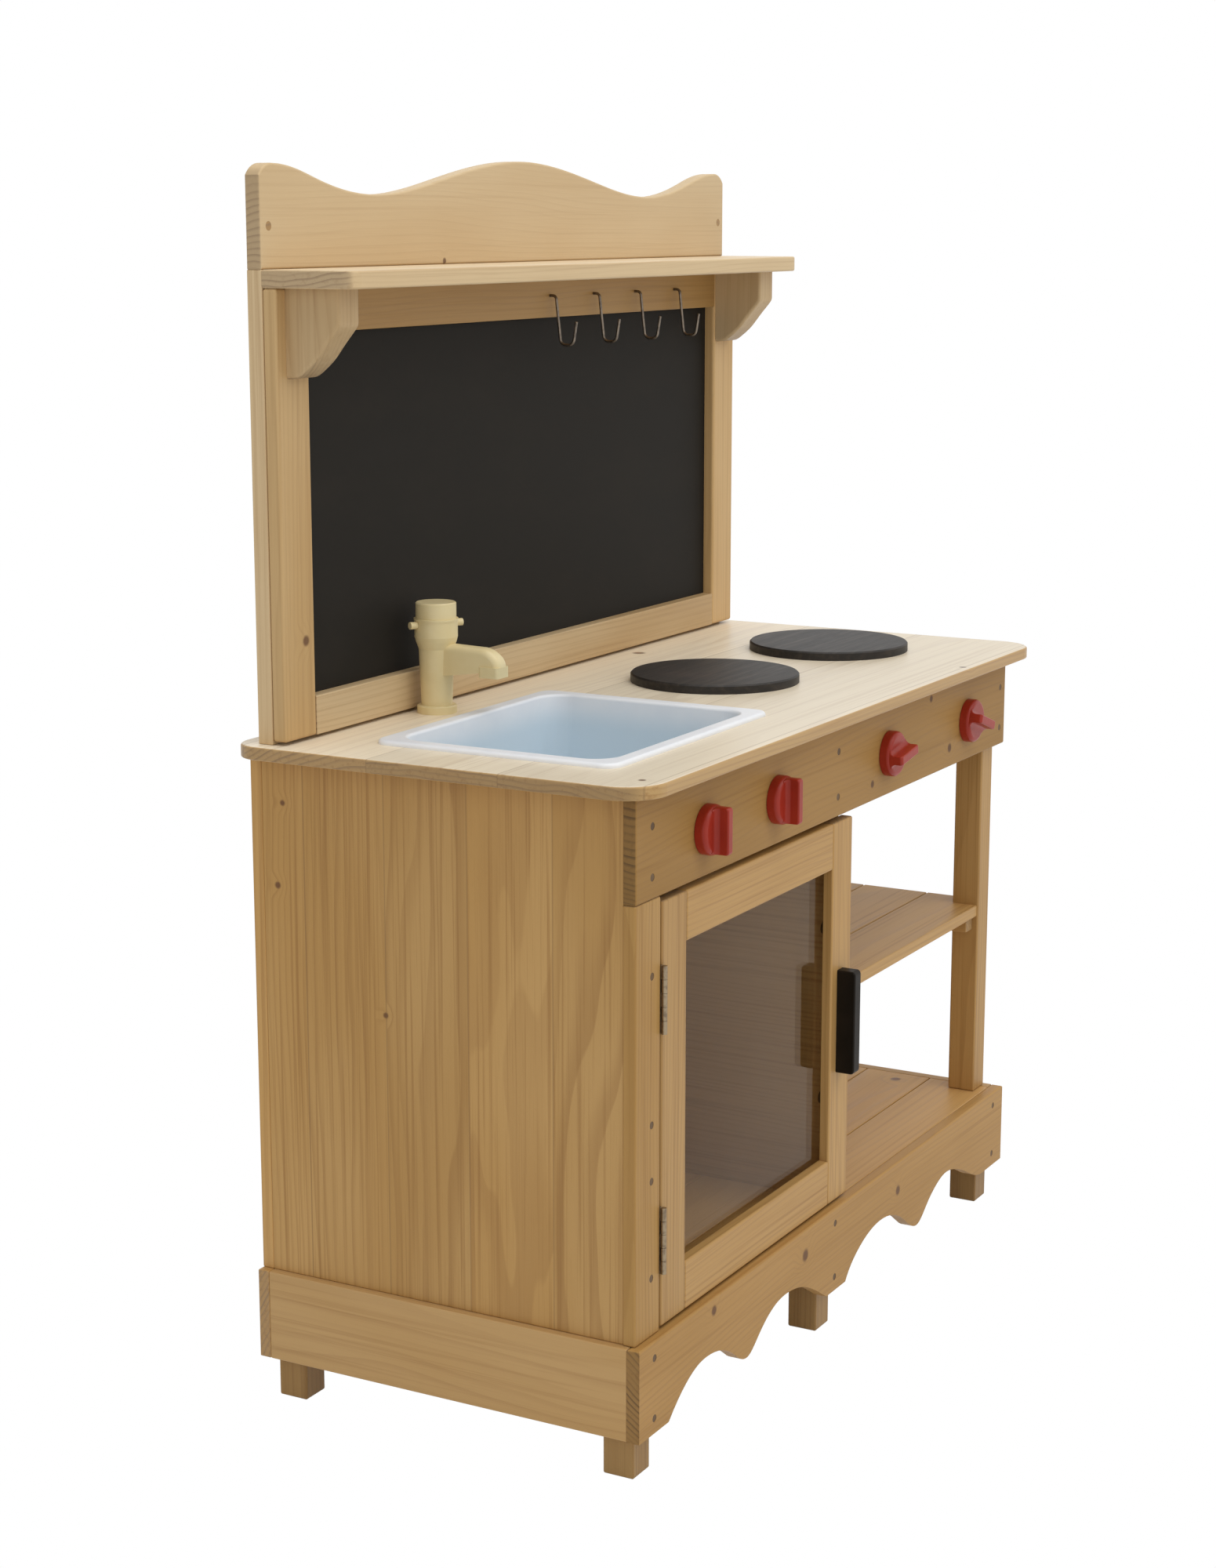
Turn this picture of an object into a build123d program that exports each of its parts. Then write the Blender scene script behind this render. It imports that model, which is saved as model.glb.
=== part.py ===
from build123d import *
import os

# Children's mud kitchen in pine: a cupboard with a glazed door, an open shelf bay, a drop-in
# basin with a push-button tap, two hob discs, four knobs and a chalkboard back with a shelf.
# Millimetres, Z up, floor at z = 0. The front looks along -Y, and x and y are centred on the
# whole object.

os.makedirs("parts", exist_ok=True)

# Stock sizes
board_t = 12.5          # rails, door frame, base boards, shelf boards
panel_t = 12.0          # glued side panel and the planks of the back
leg = 30.0              # square section of posts and feet
edge_r = 1.2            # eased edges of sawn boards
soft_r = 2.0            # rounder edges that hands touch
turn_gap = 0.4          # air between a turning piece and the wood beside it
board_gap = 1.2         # gap between floor or shelf boards

# Overall sizes
carcass_w, carcass_h = 832.0, 479.5
base_out, base_h, base_lift = 6.0, 84.0, 40.0
top_over, top_d, top_t = 29.0, 412.0, 12.0
rail_setback = 24.0     # worktop front edge to rail face
rail_h = 93.5
skirt_step = 7.5        # base front stands proud of the rail by this
panel_inset = 2.0       # side panel stands inside the rail's end
divider_t = 16.0
knob_h = 23.6           # from a knob's back to the front of its grip

# Levels and depths that the rest hangs on
base_w, top_w = carcass_w + 2 * base_out, carcass_w + 2 * top_over
base_z = base_lift + base_h
top_under = base_z + carcass_h
top_z = top_under + top_t
y_front, y_planks = -top_d / 2, top_d / 2                # edges of the worktop
y_back = y_planks - panel_t                              # front face of the back planks
y_rail = y_front + rail_setback                          # front of rail, stile and door
y_frame = y_rail + board_t                               # back of the same
y_skirt = y_rail - skirt_step
y_base = y_skirt + board_t                               # back face of the skirt
rail_z = top_under - rail_h
x_base, x_car = base_w / 2, carcass_w / 2
x_panel = x_car - panel_inset
x_div = 0.0                                              # left face of the divider


def board(x, y, z, ease=edge_r):
    """Sawn board between two limits on each axis, with eased edges."""
    with BuildPart() as piece:
        with BuildSketch(Plane.XY.offset(z[0])):
            with Locations(((x[0] + x[1]) / 2, (y[0] + y[1]) / 2)):
                Rectangle(x[1] - x[0], y[1] - y[0])
        extrude(amount=z[1] - z[0])
        fillet(piece.edges(), ease)
    return piece.part


def save(label, piece):
    """Name a finished piece and write its STEP file."""
    piece.label = label
    export_step(piece, f"parts/{label}.step")


def row(first, start, last, pitch):
    """Limits of boards laid side by side: one up to start, whole ones, then what is left."""
    edges = [first, start]
    while edges[-1] + pitch < last - pitch / 2:
        edges.append(edges[-1] + pitch)
    return [(a, b - (0.0 if b == last else board_gap)) for a, b in zip(edges, edges[1:] + [last])]


# Wood screw with its head at the origin, driven along +Y, and the hole it sits in
screw_head_r, screw_head_h, screw_r, screw_l = 3.4, 2.6, 1.9, 34.0
screw_sink, screw_air = 0.5, 0.05


def screw_form(air, sink, length=screw_l):
    """Countersunk screw, grown by air all round, with its head that far under the face."""
    with BuildPart() as form:
        with BuildSketch(Plane.XY):
            with BuildLine():
                Polyline((0, sink), (screw_head_r + air, sink),
                         (screw_head_r + air, screw_sink + air),
                         (screw_r + air, screw_sink + screw_head_h + air),
                         (screw_r + air, length + air), (0, length + air), close=True)
            make_face()
        revolve(axis=Axis.Y)
    return form.part


screw = screw_form(0.0, screw_sink - 0.3)
screw_hole = screw_form(screw_air, -1.0)

# Base: skirt with two double arches, plinths, floor boards and six feet. Each arch is a list of
# points on its curve, as (x, height over the skirt's lower edge).
foot_mid_in = 7.0       # middle feet stand left of the divider by this
foot_x = (-x_base + board_t, x_div - foot_mid_in - leg, x_base - board_t - leg)
foot_y = (y_base, y_back - leg)
skirt_screw_in = (14.0, 15.0)
skirt_screw_z = (base_lift + skirt_screw_in[0], base_z - skirt_screw_in[1])
skirt_screws = [(x + leg / 2, y_skirt, z) for x in foot_x for z in skirt_screw_z]
arches = (((-368, 0), (-352, 13), (-335, 23.5), (-312, 32), (-288, 33), (-262, 27), (-240, 14.5),
           (-226, 5), (-212, 2.5), (-200, 8), (-188, 16.5), (-172, 26), (-150, 33.5),
           (-122, 34.5), (-92, 28), (-66, 15.5), (-40, 0)),
          ((4, 0), (18, 13.5), (34, 23), (58, 32), (86, 36), (114, 33), (140, 23), (158, 11),
           (172, 2.5), (186, 0), (198, 5), (212, 15), (230, 25), (258, 33), (290, 28), (318, 17),
           (343, 5), (367, 0)))
with BuildPart() as skirt:
    with BuildSketch(Plane.XZ.offset(-y_base)):
        with BuildLine():
            for arch in arches:
                Spline(*[(x, base_lift + rise) for x, rise in arch])
            Line((arches[0][-1][0], base_lift), (arches[1][0][0], base_lift))
            Polyline((arches[1][-1][0], base_lift), (x_base, base_lift), (x_base, base_z),
                     (-x_base, base_z), (-x_base, base_lift), (arches[0][0][0], base_lift))
        make_face()
    extrude(amount=board_t)
    fillet(skirt.edges().group_by(Axis.Z)[-1], soft_r)
    for place in skirt_screws:
        with Locations(place):
            add(screw_hole, mode=Mode.SUBTRACT)
save("skirt", skirt.part)

save("left_plinth", board((-x_base, -x_base + board_t), (y_base, y_back), (base_lift, base_z)))
save("right_plinth", board((x_base - board_t, x_base), (y_base, y_back), (base_lift, base_z)))
save("back_plinth", board((-x_base, x_base), (y_back, y_planks), (base_lift, base_z)))

floor_under = base_z - board_t
floor_pitch, floor_first = 75.6, 69.0
floor_pieces = [board((-x_base + board_t, x_base - board_t), y, (floor_under, base_z))
                for y in row(y_base, y_base + floor_first, y_back, floor_pitch)]
with BuildPart() as floor_boards:
    add(floor_pieces)
save("floor_boards", floor_boards.part)

foot_pieces = [board((x, x + leg), (y, y + leg), (0.0, floor_under), soft_r)
               for x in foot_x for y in foot_y]
with BuildPart() as feet:
    add(foot_pieces)
    for place in skirt_screws:
        with Locations(place):
            add(screw_hole, mode=Mode.SUBTRACT)
save("feet", feet.part)

# Cupboard: rail, stile, side panel, posts, divider and back
post_x = panel_t - x_panel
right_post_x = x_car - leg
stile_w = 44.5
stile_screw_up = (53.0, 140.0, 190.0, 320.0)
stile_screw_z = [base_z + up for up in stile_screw_up]
rail_screw_in = (19.0, 31.0)
rail_screw_z = (rail_z + rail_screw_in[0], top_under - rail_screw_in[1])
rail_screws = [(x + leg / 2, y_rail, z)
               for x in (post_x, x_div - leg, right_post_x) for z in rail_screw_z]
stile_screws = [(post_x + leg / 2, y_rail, z) for z in stile_screw_z]
spindle_r, spindle_fit = 4.0, 0.06
knob_left_in, knob_right_in = (126.0, 267.0), (314.0, 108.0)      # from the rail's ends
knob_x = [d - x_car for d in knob_left_in] + [x_car - d for d in knob_right_in]
knob_turn = (90.0, 90.0, 9.0, -19.0)      # tilt of each grip from level, in degrees
knob_up = 41.5
knob_z = rail_z + knob_up

rail_piece = board((-x_car, x_car), (y_rail, y_frame), (rail_z, top_under), soft_r)
with BuildPart() as front_rail:
    add(rail_piece)
    for place in rail_screws:
        with Locations(place):
            add(screw_hole, mode=Mode.SUBTRACT)
    with BuildSketch(Plane.XZ.offset(-y_frame)):
        with Locations(*[(x, knob_z) for x in knob_x]):
            Circle(spindle_r + spindle_fit)
    extrude(amount=board_t, mode=Mode.SUBTRACT)
save("front_rail", front_rail.part)

stile_piece = board((-x_car, stile_w - x_car), (y_rail, y_frame), (base_z, rail_z), soft_r)
with BuildPart() as front_stile:
    add(stile_piece)
    for place in stile_screws:
        with Locations(place):
            add(screw_hole, mode=Mode.SUBTRACT)
save("front_stile", front_stile.part)

save("side_panel", board((-x_panel, post_x), (y_frame, y_back), (base_z, top_under)))

left_post_pieces = [board((post_x, post_x + leg), (y, y + leg), (base_z, top_under))
                    for y in (y_frame, y_back - leg)]
with BuildPart() as left_posts:
    add(left_post_pieces)
    for place in rail_screws[:2] + stile_screws:
        with Locations(place):
            add(screw_hole, mode=Mode.SUBTRACT)
save("left_posts", left_posts.part)

right_post_pieces = [board((right_post_x, x_car), (y, y + leg), (base_z, top_under), soft_r)
                     for y in (y_frame, y_back - leg)]
with BuildPart() as right_posts:
    add(right_post_pieces)
    for place in rail_screws[4:]:
        with Locations(place):
            add(screw_hole, mode=Mode.SUBTRACT)
save("right_posts", right_posts.part)

block_piece = board((x_div - leg, x_div), (y_frame, y_frame + leg), (rail_z, top_under))
with BuildPart() as rail_block:
    add(block_piece)
    for place in rail_screws[2:4]:
        with Locations(place):
            add(screw_hole, mode=Mode.SUBTRACT)
save("rail_block", rail_block.part)

with BuildPart() as carcass_screws:
    for place in skirt_screws + rail_screws + stile_screws:
        with Locations(place):
            add(screw)
save("carcass_screws", carcass_screws.part)

stop_gap = 0.6          # air between the shut door and the divider behind it
x_bay = x_div + divider_t
save("divider", board((x_div, x_bay), (y_frame + stop_gap, y_back), (base_z, top_under)))

plank_count, plank_gap = 5, 0.8
plank_pitch = (x_bay + x_panel) / plank_count
plank_x = [i * plank_pitch - x_panel for i in range(plank_count)]
plank_pieces = [board((x, x + plank_pitch - plank_gap), (y_back, y_planks), (base_z, top_under))
                for x in plank_x]
with BuildPart() as back_planks:
    add(plank_pieces)
save("back_planks", back_planks.part)

top_rail_h = 60.0
save("right_side_rail", board((x_car - board_t, x_car), (y_frame + leg, y_back - leg),
                              (top_under - top_rail_h, top_under)))
save("back_rail", board((x_bay, right_post_x), (y_back - board_t, y_back),
                        (top_under - top_rail_h, top_under)))

# Slatted shelf in the open bay, on two cleats
shelf_up, shelf_first, shelf_inset = 210.3, 70.5, 1.8
cleat_w, cleat_h, cleat_inset = 17.0, 15.0, 6.5
shelf_z = base_z + shelf_up
shelf_under = shelf_z - board_t
shelf_front = y_frame + shelf_inset
shelf_pieces = [board((x_bay, x_car), y, (shelf_under, shelf_z))
                for y in row(shelf_front, shelf_front + shelf_first, y_back, floor_pitch)]
with BuildPart() as shelf_boards:
    add(shelf_pieces)
    with BuildSketch(Plane.XY.offset(shelf_under)):
        with Locations(*[(right_post_x + leg / 2, y + leg / 2) for y in (y_frame, y_back - leg)]):
            Rectangle(leg, leg)
    extrude(amount=board_t, mode=Mode.SUBTRACT)
save("shelf_boards", shelf_boards.part)

cleat_pieces = [board((x, x + cleat_w), (y_frame + cleat_inset, y_back - board_t),
                      (shelf_under - cleat_h, shelf_under))
                for x in (x_bay, right_post_x - cleat_w)]
with BuildPart() as shelf_cleats:
    add(cleat_pieces)
save("shelf_cleats", shelf_cleats.part)

# Places on the worktop: the basin fills the room that is left in front of the tap and beside
# the hobs
tap_inset, tap_foot_r, tap_foot_h = 61.0, 18.5, 7.5
tap_y = y_back - tap_inset
hob_r, hob_t, hob_ease = 83.5, 9.0, 1.5
hob_in, hob_back = (354.0, 113.0), (206.0, 219.0)   # from the rail's right end and the planks
hob_spots = [(x_car - right, y_back - behind) for right, behind in zip(hob_in, hob_back)]
sink_in, sink_to_hob, sink_front, sink_to_tap = 32.0, 62.5, 62.0, 17.5
sink_x0, sink_x1 = sink_in - x_car, hob_spots[0][0] - hob_r - sink_to_hob
sink_y0, sink_y1 = y_front + sink_front, tap_y - tap_foot_r - sink_to_tap
sink_x, sink_w = (sink_x0 + sink_x1) / 2, sink_x1 - sink_x0
sink_y, sink_d = (sink_y0 + sink_y1) / 2, sink_y1 - sink_y0

# Basin with a rolled rim, dropped into the worktop
rim_h, rim_w, rim_r = 4.2, 16.0, 15.0
bowl_wall, bowl_depth, bowl_taper, bowl_r = 2.5, 112.0, 4.0, 24.0
sink_fit = 1.5          # air around the bowl in the worktop's cut-out
rim_top = top_z + rim_h
mouth_w, mouth_d = sink_w - 2 * rim_w, sink_d - 2 * rim_w
bowl_w, bowl_d = mouth_w + 2 * bowl_wall, mouth_d + 2 * bowl_wall
with BuildPart() as bowl_cavity:
    with BuildSketch(Plane.XY.offset(rim_top)):
        with Locations((sink_x, sink_y)):
            RectangleRounded(mouth_w, mouth_d, bowl_r)
    extrude(amount=bowl_wall - bowl_depth, taper=bowl_taper)
    fillet(bowl_cavity.edges().group_by(Axis.Z)[0], bowl_r / 2 - bowl_wall)
with BuildPart() as sink_basin:
    with BuildSketch(Plane.XY.offset(rim_top)):
        with Locations((sink_x, sink_y)):
            RectangleRounded(bowl_w, bowl_d, bowl_r + bowl_wall)
    extrude(amount=-bowl_depth, taper=bowl_taper)
    fillet(sink_basin.edges().group_by(Axis.Z)[0], bowl_r / 2)
    with BuildSketch(Plane.XY.offset(top_z)):
        with Locations((sink_x, sink_y)):
            RectangleRounded(sink_w, sink_d, rim_r)
    extrude(amount=rim_h)
    fillet(sink_basin.edges().group_by(Axis.Z)[-1], rim_h * 0.8)
    add(bowl_cavity.part, mode=Mode.SUBTRACT)
    rim_face = sink_basin.faces().filter_by(Axis.Z).sort_by(Axis.Z)[-1]
    fillet(rim_face.inner_wires()[0].edges(), 3.0)
save("sink_basin", sink_basin.part)

# Tap: body with spout, sprung button in its top, two cross pins, nut under the worktop
tap_side = 13.0         # right of the basin's middle
tap_x = sink_x + tap_side
tube_r0, tube_r1, tube_h = 14.4, 16.4, 60.0
collar_r, collar_z, collar_h = 20.0, 67.0, 88.0
bead_h, bead_r = 2.0, 0.6
button_r, button_fit, button_z, button_skirt = 18.8, 0.06, 103.0, 74.0
socket_z, button_top_t, button_wall = 68.0, 6.0, 3.0
travel = 2.4            # how far the button goes down
thread_r, thread_l, thread_fit = 10.0, 30.0, 0.5
nut_flats, nut_h, nut_air = 30.0, 8.0, 0.05
spout_w, spout_top, spout_l, spout_low, spout_tip_low = 18.0, 65.5, 72.0, 34.0, 41.5
nozzle_l, nozzle_h, nozzle_w = 21.0, 37.5, 21.0
spout_bend, spout_fall, spout_r = 22.0, 1.5, 6.0
water_r, water_h = 4.5, 53.0
pin_r, pin_shank_r, pin_h, pin_out, pin_in, pin_turn = 3.4, 1.5, 82.4, 27.0, 16.5, 150.0
pin_air, slot_air = 0.05, 0.25
tap_axis = Axis((tap_x, tap_y, top_z), (0, 0, 1))
tip_y = tap_y - spout_l


def tap_face(*points):
    """Half section through the tap, as (radius, height over the worktop)."""
    with BuildSketch(Plane.XZ.offset(-tap_y), mode=Mode.PRIVATE) as half:
        with BuildLine():
            Polyline(*[(tap_x + r, top_z + h) for r, h in points], close=True)
        make_face()
    return half.sketch


def pin_planes(radius):
    """Planes square to the two cross pins, that far out from the tap's axis."""
    outward = [Vector(1, 0, 0).rotate(Axis.Z, turn) for turn in (pin_turn, pin_turn + 180)]
    return [Plane(Vector(tap_x, tap_y, top_z + pin_h) + way * radius, x_dir=(0, 0, 1), z_dir=way)
            for way in outward]


outer_face = tap_face((0, 0), (tap_foot_r, 0), (tap_foot_r, tap_foot_h - 1),
                      (tap_foot_r - 1, tap_foot_h), (tube_r0, tap_foot_h), (tube_r1, tube_h),
                      (collar_r - 1, collar_z), (collar_r, collar_z + 4),
                      (collar_r, collar_h - bead_h), (collar_r + bead_r, collar_h - bead_h),
                      (collar_r + bead_r, collar_h), (0, collar_h))
shank_face = tap_face((0, -thread_l), (thread_r, -thread_l), (thread_r, 0), (0, 0))
socket_face = tap_face((0, socket_z), (button_r + button_fit, socket_z),
                       (button_r + button_fit, collar_h), (0, collar_h))
with BuildPart() as spout:
    with BuildSketch(Plane.YZ.offset(tap_x - spout_w / 2)):
        with BuildLine():
            bend = (tip_y + spout_bend, top_z + spout_top - spout_fall)
            Line((tap_y, top_z + spout_top), bend)
            Spline(bend, (tip_y + 6.5, top_z + spout_top - 7), (tip_y, top_z + nozzle_h + 8),
                   tangents=((-1, 0), (0, -1)))
            Polyline((tip_y, top_z + nozzle_h + 8), (tip_y, top_z + nozzle_h + 1),
                     (tip_y + nozzle_l, top_z + nozzle_h + 1),
                     (tip_y + nozzle_l, top_z + spout_tip_low), (tap_y, top_z + spout_low),
                     (tap_y, top_z + spout_top))
        make_face()
    extrude(amount=spout_w)
    long_edges = [edge for edge in spout.edges() if edge.center().Y < tap_y - 1.0
                  and abs(edge.center().X - tap_x) > spout_w / 2 - 0.1]
    fillet([e for e in long_edges if e.center().Z > top_z + nozzle_h + 9], spout_r)
with BuildPart() as tap_body:
    revolve(outer_face, axis=tap_axis)
    add(spout.part)
    with BuildSketch(Plane.XY.offset(top_z + nozzle_h)):
        with Locations((tap_x, tip_y + nozzle_l / 2)):
            RectangleRounded(nozzle_w, nozzle_l, 3.0)
    extrude(amount=10.0)
    revolve(shank_face, axis=tap_axis)
    revolve(socket_face, axis=tap_axis, mode=Mode.SUBTRACT)
    with BuildSketch(Plane.XY.offset(top_z - thread_l)):
        with Locations((tap_x, tap_y)):
            Circle(water_r)
    extrude(amount=thread_l + socket_z, mode=Mode.SUBTRACT)
    with BuildSketch(Plane.XZ.offset(-tap_y)):
        with Locations((tap_x, top_z + water_h)):
            Circle(water_r)
    extrude(amount=spout_l - nozzle_l / 2, mode=Mode.SUBTRACT)
    with BuildSketch(Plane.XY.offset(top_z + nozzle_h)):
        with Locations((tap_x, tip_y + nozzle_l / 2)):
            Circle(water_r)
    extrude(amount=water_h - nozzle_h, mode=Mode.SUBTRACT)
    for plane in pin_planes(button_r - 1.0):
        with BuildSketch(plane):
            Circle(pin_shank_r + pin_air)
        extrude(amount=collar_r - button_r + 1.5, mode=Mode.SUBTRACT)
save("tap_body", tap_body.part)

with BuildPart() as tap_pins:
    for plane in pin_planes(collar_r + pin_air):
        with BuildSketch(plane):
            Circle(pin_r)
        extrude(amount=pin_out - collar_r)
    for plane in pin_planes(pin_in):
        with BuildSketch(plane):
            Circle(pin_shank_r)
        extrude(amount=pin_out - pin_in - 1.0)
save("tap_pins", tap_pins.part)

button_face = tap_face((0, button_z), (button_r - 1, button_z), (button_r, button_z - 1),
                       (button_r, button_skirt), (button_r - button_wall, button_skirt),
                       (button_r - button_wall, button_z - button_top_t),
                       (0, button_z - button_top_t))
with BuildPart() as tap_button:
    revolve(button_face, axis=tap_axis)
    for plane in pin_planes(pin_in - 1.0):
        with BuildSketch(plane):
            with Locations((travel / 2, 0)):
                SlotCenterToCenter(travel, 2 * (pin_shank_r + slot_air))
        extrude(amount=button_r - pin_in + 2.0, mode=Mode.SUBTRACT)
save("tap_button", tap_button.part)

spring_r, spring_wire, spring_turns, spring_air = 10.0, 0.7, 5.0, 0.1
spring_z0 = top_z + socket_z + spring_wire + spring_air
spring_h = button_z - button_top_t - socket_z - 2 * (spring_wire + spring_air)
with BuildPart() as tap_spring:
    with BuildLine(Plane((tap_x, tap_y, spring_z0))) as coil:
        Helix(pitch=spring_h / spring_turns, height=spring_h, radius=spring_r)
    with BuildSketch(Plane(coil.line @ 0, z_dir=coil.line % 0)):
        Circle(spring_wire)
    sweep(path=coil.line)
save("tap_spring", tap_spring.part)

nut_ring = 1.0          # flange under the nut's flats
with BuildPart() as tap_nut:
    with BuildSketch(Plane.XY.offset(top_under - nut_h)):
        with Locations((tap_x, tap_y)):
            RegularPolygon(nut_flats / 2, 6, major_radius=False)
            Circle(thread_r + nut_air, mode=Mode.SUBTRACT)
    extrude(amount=nut_h)
    chamfer(tap_nut.edges().group_by(Axis.Z)[0].filter_by(GeomType.LINE), nut_ring)
save("tap_nut", tap_nut.part)

# Worktop with the basin's cut-out and the tap's hole, and two hob discs on it
top_front_r, top_back_r = 38.0, 27.0
cut_w, cut_d = bowl_w + 2 * sink_fit, bowl_d + 2 * sink_fit
with BuildPart() as worktop:
    with BuildSketch(Plane.XY.offset(top_under)) as slab:
        Rectangle(top_w, top_d)
        fillet(slab.vertices().group_by(Axis.Y)[0], top_front_r)
        fillet(slab.vertices().group_by(Axis.Y)[-1], top_back_r)
    extrude(amount=top_t)
    fillet(worktop.edges().group_by(Axis.Z)[-1], 2.5)
    fillet(worktop.edges().group_by(Axis.Z)[0], 1.5)
    with BuildSketch(Plane.XY.offset(top_under)):
        with Locations((sink_x, sink_y)):
            RectangleRounded(cut_w, cut_d, bowl_r + bowl_wall + sink_fit)
        with Locations((tap_x, tap_y)):
            Circle(thread_r + thread_fit)
    extrude(amount=top_t, mode=Mode.SUBTRACT)
save("worktop", worktop.part)

for name, spot in zip(("hob_disc_left", "hob_disc_right"), hob_spots):
    with BuildPart() as hob:
        with BuildSketch(Plane.XY.offset(top_z)):
            with Locations(spot):
                Circle(hob_r)
        extrude(amount=hob_t)
        chamfer(hob.edges().group_by(Axis.Z)[-1], hob_ease)
    save(name, hob.part)

# Knobs: round base, a blade flared at its root and a spindle through the rail, kept by a
# push-on washer
knob_r, knob_base_h, knob_ease = 22.3, 11.0, 4.5
blade_r, blade_t, blade_flare, blade_ease = 21.0, 9.0, 5.0, 3.0
washer_r, washer_t = 9.0, 1.6
knob_back = y_rail - turn_gap
spindle_end = y_frame + turn_gap + washer_t + 1.5
knob_names = ("knob_sink_left", "knob_sink_right", "knob_hob_left", "knob_hob_right")
with BuildPart() as grip:
    with BuildSketch(Plane.XZ):
        Circle(blade_r)
    extrude(amount=knob_h)
    fillet(grip.edges().group_by(Axis.Y)[0], blade_ease)
    with BuildSketch(Plane.YZ) as blade:
        with Locations((-knob_h / 2, 0)):
            Rectangle(knob_h, blade_t)
        with Locations((-knob_base_h / 2, 0)):
            Rectangle(knob_base_h, blade_t + 2 * blade_flare)
        roots = blade.vertices().group_by(Axis.X)[1].sort_by(Axis.Y)[1:3]
        fillet(roots, blade_flare)
    extrude(amount=knob_r, both=True, mode=Mode.INTERSECT)
    fillet(grip.edges().filter_by(Axis.X).group_by(Axis.Y)[0], blade_ease / 2)
for name, x, turn in zip(knob_names, knob_x, knob_turn):
    with BuildPart() as knob:
        with BuildSketch(Plane.XZ.offset(-knob_back)):
            with Locations((x, knob_z)):
                Circle(knob_r)
        extrude(amount=knob_base_h)
        fillet(knob.edges().sort_by(Axis.Y)[0], knob_ease)
        with Locations(Location((x, knob_back, knob_z), (0, -turn, 0))):
            add(grip.part)
        with BuildSketch(Plane.XZ.offset(-spindle_end)):
            with Locations((x, knob_z)):
                Circle(spindle_r)
        extrude(amount=spindle_end - knob_back)
    save(name, knob.part)
    with BuildPart() as washer:
        with BuildSketch(Plane.XZ.offset(-y_frame - turn_gap - washer_t)):
            with Locations((x, knob_z)):
                Circle(washer_r)
                Circle(spindle_r, mode=Mode.SUBTRACT)
        extrude(amount=washer_t)
    save(name.replace("knob", "washer"), washer.part)

# Door: two stiles, two rails, a pane in a rebate and its turn buttons
door_gap, door_lap, door_under, door_over = 2.5, 3.6, 2.5, 5.5
door_x0, door_x1 = stile_w - x_car + door_gap, x_bay + door_lap
door_z0, door_z1 = base_z + door_under, rail_z - door_over
door_stile_w, door_lock_w, door_rail_h = 45.0, 43.6, 44.5
pane_t, rebate_w, pane_air = 3.0, 8.0, 0.5
win_x = (door_x0 + door_stile_w, door_x1 - door_lock_w)
win_z = (door_z0 + door_rail_h, door_z1 - door_rail_h)


def pane_slab(grow, thick):
    """Slab over the window, grown by that much all round, at the door's back face."""
    with BuildPart() as slab_piece:
        with BuildSketch(Plane.XZ.offset(-y_frame)):
            with Locations(((win_x[0] + win_x[1]) / 2, (win_z[0] + win_z[1]) / 2)):
                Rectangle(win_x[1] - win_x[0] + 2 * grow, win_z[1] - win_z[0] + 2 * grow)
        extrude(amount=thick)
    return slab_piece.part


rebate = pane_slab(rebate_w, pane_t)
handle_w, handle_d, handle_l, handle_r = 14.0, 19.0, 102.0, 4.0
handle_in, handle_drop, handle_screw_in, handle_screw_l = 16.6, 7.5, 22.0, 26.0
handle_x = (door_x1 - handle_in - handle_w, door_x1 - handle_in)
handle_mid = (door_z0 + door_z1) / 2 - handle_drop
handle_z = (handle_mid - handle_l / 2, handle_mid + handle_l / 2)
handle_screw_z = (handle_z[0] + handle_screw_in, handle_z[1] - handle_screw_in)
handle_screws = [Location(((handle_x[0] + handle_x[1]) / 2, y_frame, z), (0, 0, 180))
                 for z in handle_screw_z]
handle_screw = screw_form(0.0, screw_sink - 0.3, handle_screw_l)
handle_hole = screw_form(screw_air, -1.0, handle_screw_l)

door_stile_pieces = [board(x, (y_rail, y_frame), (door_z0, door_z1), soft_r)
                     for x in ((door_x0, win_x[0]), (win_x[1], door_x1))]
with BuildPart() as door_stiles:
    add(door_stile_pieces)
    add(rebate, mode=Mode.SUBTRACT)
    with Locations(*handle_screws):
        add(handle_hole, mode=Mode.SUBTRACT)
save("door_stiles", door_stiles.part)

door_rail_pieces = [board(win_x, (y_rail, y_frame), z, soft_r)
                    for z in ((door_z0, win_z[0]), (win_z[1], door_z1))]
with BuildPart() as door_rails:
    add(door_rail_pieces)
    add(rebate, mode=Mode.SUBTRACT)
save("door_rails", door_rails.part)

save("window_pane", pane_slab(rebate_w - pane_air, pane_t))

with BuildPart() as door_handle:
    with BuildSketch(Plane.XY.offset(handle_z[0])):
        with Locations(((handle_x[0] + handle_x[1]) / 2, y_rail - handle_d / 2)):
            Rectangle(handle_w, handle_d)
    extrude(amount=handle_z[1] - handle_z[0])
    front = door_handle.faces().sort_by(Axis.Y)[0]
    fillet(front.edges().filter_by(Axis.X), handle_r)
    fillet(door_handle.faces().sort_by(Axis.Y)[0].edges().filter_by(Axis.Z), 1.5)
    with Locations(*handle_screws):
        add(handle_hole, mode=Mode.SUBTRACT)
save("door_handle", door_handle.part)

with BuildPart() as door_screws:
    with Locations(*handle_screws):
        add(handle_screw)
save("door_screws", door_screws.part)

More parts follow.
